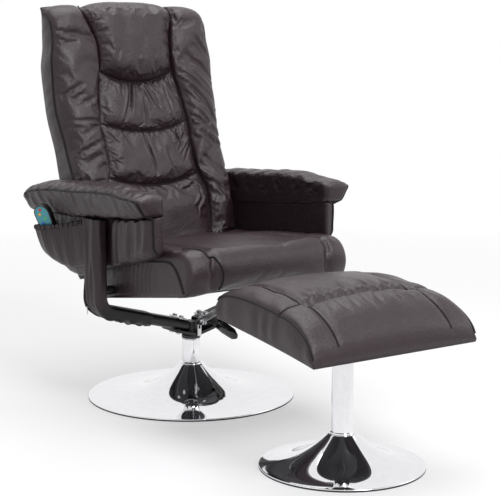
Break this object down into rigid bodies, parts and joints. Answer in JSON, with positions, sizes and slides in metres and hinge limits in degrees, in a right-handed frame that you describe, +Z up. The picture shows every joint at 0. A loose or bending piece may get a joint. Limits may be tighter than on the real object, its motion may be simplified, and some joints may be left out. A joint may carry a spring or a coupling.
{
  "type": "swivel massage recliner with footstool",
  "caption": "Swivel massage recliner in dark brown leather on a chrome trumpet base, with padded arms, a handset in a side pocket and a matching footstool.",
  "frame": {"origin": "On the floor, on the axis that the chair swivels about.", "axes": "+X to the right of somebody who looks at the chair's front, +Y towards the rear of the chair, +Z up along the swivel axis."},
  "size_m": [0.6865, 1.3194, 1.0739],
  "materials": {
    "chrome_plate": "mirror-bright chrome plating",
    "floor_rubber": "matte black rubber ring",
    "zinc_steel": "bright zinc-plated steel",
    "black_steel": "satin black powder coat",
    "black_plastic": "fine-grained black moulding",
    "gloss_black_plastic": "glossy black moulding",
    "plywood": "raw birch plywood",
    "brown_leather": "soft matt dark brown leather",
    "dark_leather": "thin unpadded dark brown leather",
    "black_lining": "thin black woven lining",
    "teal_plastic": "teal moulded face",
    "red_plastic": "smooth red button",
    "orange_plastic": "smooth orange button",
    "green_plastic": "smooth green button",
    "blue_plastic": "smooth blue button"
  },
  "bodies": {
    "floor_base": {"base_trumpet": "chrome_plate", "base_gasket": "floor_rubber", "column_tube": "chrome_plate", "column_ring": "chrome_plate", "base_tie_bolt": "zinc_steel", "swivel_spindle": "zinc_steel", "swivel_bush": "black_plastic"},
    "chair_frame": {"hub_socket": "black_steel", "hub_strap": "zinc_steel", "hub_bolts": "zinc_steel", "brake_bracket": "zinc_steel", "frame_bar_left": "black_steel", "frame_bar_right": "black_steel", "sleeve_left": "dark_leather", "sleeve_right": "dark_leather", "arm_board_left": "plywood", "arm_board_right": "plywood", "arm_side_left": "brown_leather", "arm_side_right": "brown_leather", "arm_roll_left": "brown_leather", "arm_roll_right": "brown_leather", "arm_bolts": "zinc_steel", "side_pocket": "dark_leather", "seat_pivot_pins": "zinc_steel"},
    "zip_pull_left": {"zip_pull_left": "zinc_steel"},
    "zip_pull_right": {"zip_pull_right": "zinc_steel"},
    "seat": {"seat_frame": "black_steel", "seat_board": "plywood", "seat_cushion": "brown_leather", "seat_dust_cover": "black_lining", "seat_motors": "black_plastic", "control_box": "black_plastic", "power_inlet": "black_plastic", "rod_bracket": "black_steel", "brake_rod": "zinc_steel"},
    "back": {"back_hinge_plates": "black_steel", "back_board": "plywood", "back_motors": "black_plastic", "back_rear_cover": "black_lining", "lumbar_pad": "brown_leather", "lower_back_panel": "brown_leather", "upper_back_panel": "brown_leather", "headrest_pad": "brown_leather", "back_bolster_left": "brown_leather", "back_bolster_right": "brown_leather"},
    "brake_lever": {"lever_arm": "black_steel", "lever_grip": "gloss_black_plastic"},
    "handset": {"handset_case": "black_plastic", "handset_face": "teal_plastic"},
    "power_button": {"power_button": "red_plastic"},
    "mode_button": {"mode_button": "orange_plastic"},
    "speed_button": {"speed_button": "green_plastic"},
    "heat_button": {"heat_button": "blue_plastic"},
    "footstool": {"stool_trumpet": "chrome_plate", "stool_gasket": "floor_rubber", "stool_column": "chrome_plate", "stool_tie_bolt": "zinc_steel", "stool_plate": "black_steel", "stool_board": "plywood", "stool_cushion": "brown_leather"}
  },
  "joints": [
    {"name": "chair_swivel", "type": "hinge", "parent": "floor_base", "child": "chair_frame", "pos_m": [0, 0, 0.1703], "axis": [0, 0, 1], "continuous": true},
    {"name": "seat_tilt", "type": "hinge", "parent": "chair_frame", "child": "seat", "pos_m": [0, 0.004, 0.318], "axis": [-1, 0, 0], "range_deg": [0, 5.6]},
    {"name": "back_recline", "type": "hinge", "parent": "seat", "child": "back", "pos_m": [0, 0.14504, 0.36487], "axis": [-1, 0, 0], "range_deg": [0, 28]},
    {"name": "brake_lever_turn", "type": "hinge", "parent": "chair_frame", "child": "brake_lever", "pos_m": [0.0134, -0.052, 0.2163], "axis": [-1, 0, 0], "range_deg": [0, 30]},
    {"name": "handset_lift", "type": "slide", "parent": "chair_frame", "child": "handset", "axis": [-0.358, 0.0471, 0.9325], "range_m": [0, 0.15]},
    {"name": "power_button_press", "type": "slide", "parent": "handset", "child": "power_button", "axis": [0.8169, 0.4994, 0.2884], "range_m": [0, 0.0012], "stiffness_N_per_m": 400},
    {"name": "mode_button_press", "type": "slide", "parent": "handset", "child": "mode_button", "axis": [0.8169, 0.4994, 0.2884], "range_m": [0, 0.0012], "stiffness_N_per_m": 400},
    {"name": "speed_button_press", "type": "slide", "parent": "handset", "child": "speed_button", "axis": [0.8169, 0.4994, 0.2884], "range_m": [0, 0.0012], "stiffness_N_per_m": 400},
    {"name": "heat_button_press", "type": "slide", "parent": "handset", "child": "heat_button", "axis": [0.8169, 0.4994, 0.2884], "range_m": [0, 0.0012], "stiffness_N_per_m": 400},
    {"name": "zip_pull_left_swing", "type": "hinge", "parent": "chair_frame", "child": "zip_pull_left", "pos_m": [-0.304, 0.03, 0.27318], "axis": [0, 1, 0], "range_deg": [-20, 30]},
    {"name": "zip_pull_right_swing", "type": "hinge", "parent": "chair_frame", "child": "zip_pull_right", "pos_m": [0.304, 0.03, 0.27318], "axis": [0, 1, 0], "range_deg": [-30, 20]},
    {"name": "footstool_move", "type": "slide", "parent": "floor_base", "child": "footstool", "axis": [0, -1, 0], "range_m": [0, 0.4]}
  ],
  "couplings": [
    {"joint": "seat_tilt", "follows": "back_recline", "ratio": 0.2}
  ]
}
